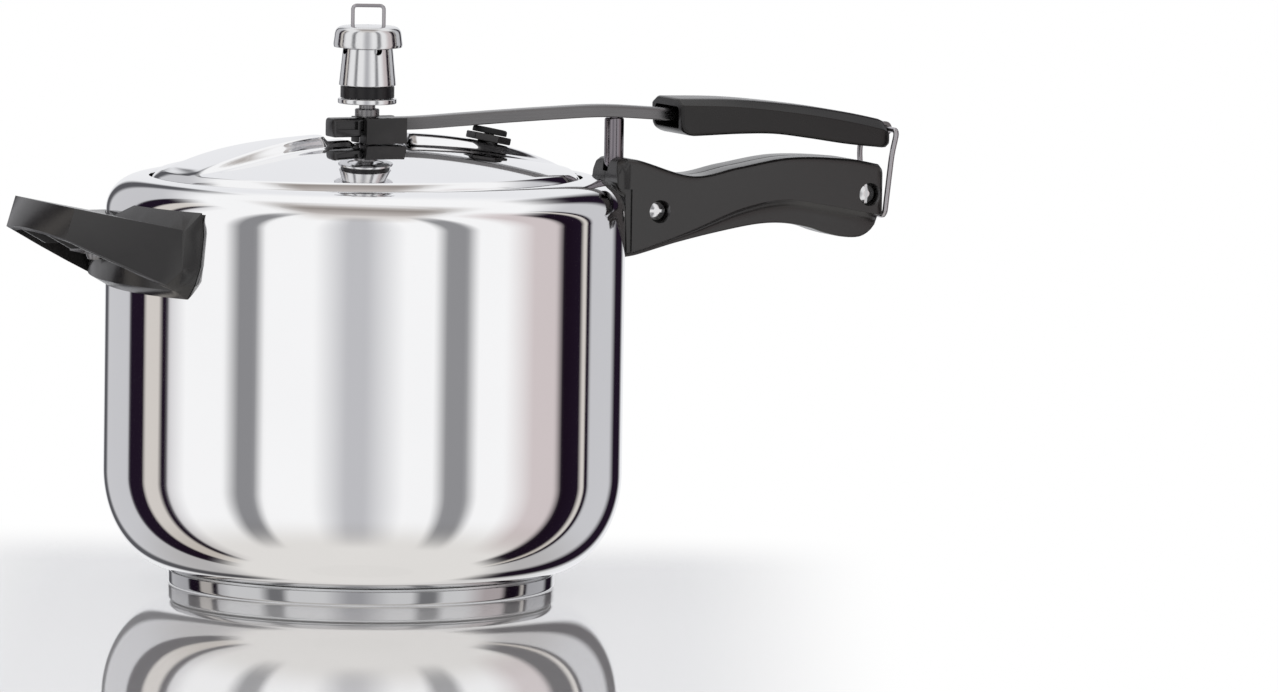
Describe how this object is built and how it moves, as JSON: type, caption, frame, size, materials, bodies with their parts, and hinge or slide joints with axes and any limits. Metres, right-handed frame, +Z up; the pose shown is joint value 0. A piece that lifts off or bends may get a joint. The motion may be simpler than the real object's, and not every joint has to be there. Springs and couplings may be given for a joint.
{
  "type": "pressure cooker",
  "caption": "Stove-top pressure cooker with an oval inner lid, lever bar on a fulcrum post, vent weight, safety valve, long handle with locking loop and helper handle.",
  "frame": {"origin": "middle of the base's underside, on the vessel's axis", "axes": "+Z up along the vessel's axis, +X towards the long handle, -Y the side with the handle screws' heads"},
  "size_m": [0.3778, 0.208, 0.2331],
  "materials": {
    "mirror_steel": "mirror polish",
    "dark_steel": "satin gunmetal",
    "black_steel": "satin black",
    "phenolic": "satin gloss black",
    "aluminium": "turned",
    "rubber": "matt black",
    "fusible_alloy": "dull"
  },
  "bodies": {
    "vessel": {"body_shell": "mirror_steel", "base_core": "aluminium", "base_cap": "mirror_steel", "handle_bracket": "dark_steel", "body_handle_near": "phenolic", "body_handle_far": "phenolic", "handle_screw_front": "mirror_steel", "handle_screw_rear": "mirror_steel", "handle_nut_front": "dark_steel", "handle_nut_rear": "dark_steel", "helper_bracket": "dark_steel", "helper_handle": "phenolic", "helper_screw": "dark_steel"},
    "lid": {"lid_shell": "mirror_steel", "gasket": "rubber", "lid_bracket": "black_steel", "lever_bar": "dark_steel", "fulcrum_post": "dark_steel", "vent_tube": "dark_steel", "vent_collar": "dark_steel", "vent_seal": "rubber", "vent_nut": "mirror_steel", "safety_valve_body": "black_steel", "safety_valve_cap": "rubber", "fusible_plug": "fusible_alloy", "safety_valve_seal": "rubber", "safety_valve_nut": "mirror_steel", "lid_handle": "phenolic", "lid_handle_screw": "mirror_steel"},
    "weight": {"weight_core": "mirror_steel", "weight_base_ring": "mirror_steel", "weight_band": "black_steel", "weight_sleeve": "mirror_steel", "weight_cap": "mirror_steel", "weight_bail": "mirror_steel"},
    "loop": {"locking_loop": "dark_steel"}
  },
  "joints": [
    {"name": "lid_tilt", "type": "hinge", "parent": "vessel", "child": "lid", "pos_m": [0.109, 0, 0.16825], "axis": [0, -1, 0], "range_deg": [0, 12]},
    {"name": "weight_lift", "type": "slide", "parent": "lid", "child": "weight", "axis": [0, 0, 1], "range_m": [0, 0.03]},
    {"name": "loop_swing", "type": "hinge", "parent": "lid", "child": "loop", "pos_m": [0.2289, 0, 0.1791], "axis": [0, -1, 0], "range_deg": [0, 115]}
  ]
}
